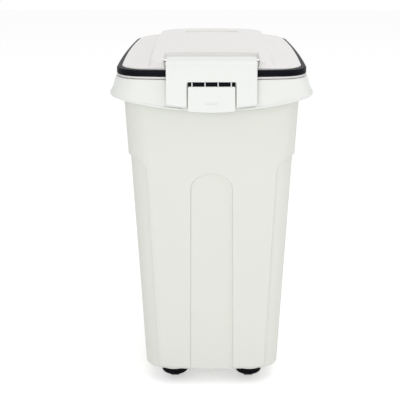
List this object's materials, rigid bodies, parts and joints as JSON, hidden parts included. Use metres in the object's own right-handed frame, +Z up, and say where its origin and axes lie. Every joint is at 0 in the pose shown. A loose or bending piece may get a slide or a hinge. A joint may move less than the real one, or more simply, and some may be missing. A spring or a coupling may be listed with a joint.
{
  "type": "dog food storage container",
  "caption": "Tall tapered pet food bin on swivel casters, with a sealed hinged lid, a front latch and a flared carrying collar.",
  "frame": {"origin": "on the floor under the middle of the bin's overall box", "axes": "+Z up, the latch faces -Y, +X to the right seen from the front"},
  "size_m": [0.3382, 0.492, 0.596],
  "materials": {
    "body_white": "fine matte moulded polypropylene, warm grey-green white",
    "collar_white": "smooth satin moulded polypropylene, white",
    "lid_white": "fine satin moulded polypropylene, white",
    "latch_white": "smooth satin moulded polypropylene, white",
    "seal_black": "soft black rubber with a slight sheen",
    "caster_black": "black moulded nylon",
    "wheel_black": "hard black moulded wheel",
    "steel": "plain bright steel"
  },
  "bodies": {
    "tub": {"bin_body": "body_white", "rim_collar": "collar_white", "hinge_pin_left": "steel", "hinge_pin_right": "steel", "caster_socket_front_left": "caster_black", "caster_socket_front_right": "caster_black", "caster_socket_rear_left": "caster_black", "caster_socket_rear_right": "caster_black"},
    "lid": {"lid_shell": "lid_white", "lid_liner": "lid_white", "lid_gasket": "seal_black", "lid_screws": "steel", "latch_pin": "steel"},
    "latch": {"latch_plate": "latch_white"},
    "tab": {"latch_tab": "latch_white"},
    "caster_front_left": {"caster_fork_front_left": "caster_black", "caster_axle_front_left": "steel"},
    "wheel_front_left": {"caster_wheel_front_left": "wheel_black"},
    "caster_front_right": {"caster_fork_front_right": "caster_black", "caster_axle_front_right": "steel"},
    "wheel_front_right": {"caster_wheel_front_right": "wheel_black"},
    "caster_rear_left": {"caster_fork_rear_left": "caster_black", "caster_axle_rear_left": "steel"},
    "wheel_rear_left": {"caster_wheel_rear_left": "wheel_black"},
    "caster_rear_right": {"caster_fork_rear_right": "caster_black", "caster_axle_rear_right": "steel"},
    "wheel_rear_right": {"caster_wheel_rear_right": "wheel_black"}
  },
  "joints": [
    {"name": "lid_hinge", "type": "hinge", "parent": "tub", "child": "lid", "pos_m": [0, 0.239, 0.57], "axis": [-1, 0, 0], "range_deg": [0, 105]},
    {"name": "latch_pivot", "type": "hinge", "parent": "lid", "child": "latch", "pos_m": [0, -0.188, 0.588], "axis": [-1, 0, 0], "range_deg": [0, 95]},
    {"name": "tab_flex", "type": "hinge", "parent": "latch", "child": "tab", "pos_m": [0, -0.23202, 0.55595], "axis": [-1, 0, 0], "range_deg": [0, 10], "stiffness_Nm_per_rad": 0.3},
    {"name": "swivel_front_left", "type": "hinge", "parent": "tub", "child": "caster_front_left", "pos_m": [-0.067, -0.15, 0.04], "axis": [0, 0, 1], "continuous": true},
    {"name": "roll_front_left", "type": "hinge", "parent": "caster_front_left", "child": "wheel_front_left", "pos_m": [-0.067, -0.1425, 0.015], "axis": [1, 0, 0], "continuous": true},
    {"name": "swivel_front_right", "type": "hinge", "parent": "tub", "child": "caster_front_right", "pos_m": [0.067, -0.15, 0.04], "axis": [0, 0, 1], "continuous": true},
    {"name": "roll_front_right", "type": "hinge", "parent": "caster_front_right", "child": "wheel_front_right", "pos_m": [0.067, -0.1425, 0.015], "axis": [1, 0, 0], "continuous": true},
    {"name": "swivel_rear_left", "type": "hinge", "parent": "tub", "child": "caster_rear_left", "pos_m": [-0.061, 0.146, 0.04], "axis": [0, 0, 1], "continuous": true},
    {"name": "roll_rear_left", "type": "hinge", "parent": "caster_rear_left", "child": "wheel_rear_left", "pos_m": [-0.061, 0.1535, 0.015], "axis": [1, 0, 0], "continuous": true},
    {"name": "swivel_rear_right", "type": "hinge", "parent": "tub", "child": "caster_rear_right", "pos_m": [0.061, 0.146, 0.04], "axis": [0, 0, 1], "continuous": true},
    {"name": "roll_rear_right", "type": "hinge", "parent": "caster_rear_right", "child": "wheel_rear_right", "pos_m": [0.061, 0.1535, 0.015], "axis": [1, 0, 0], "continuous": true}
  ]
}
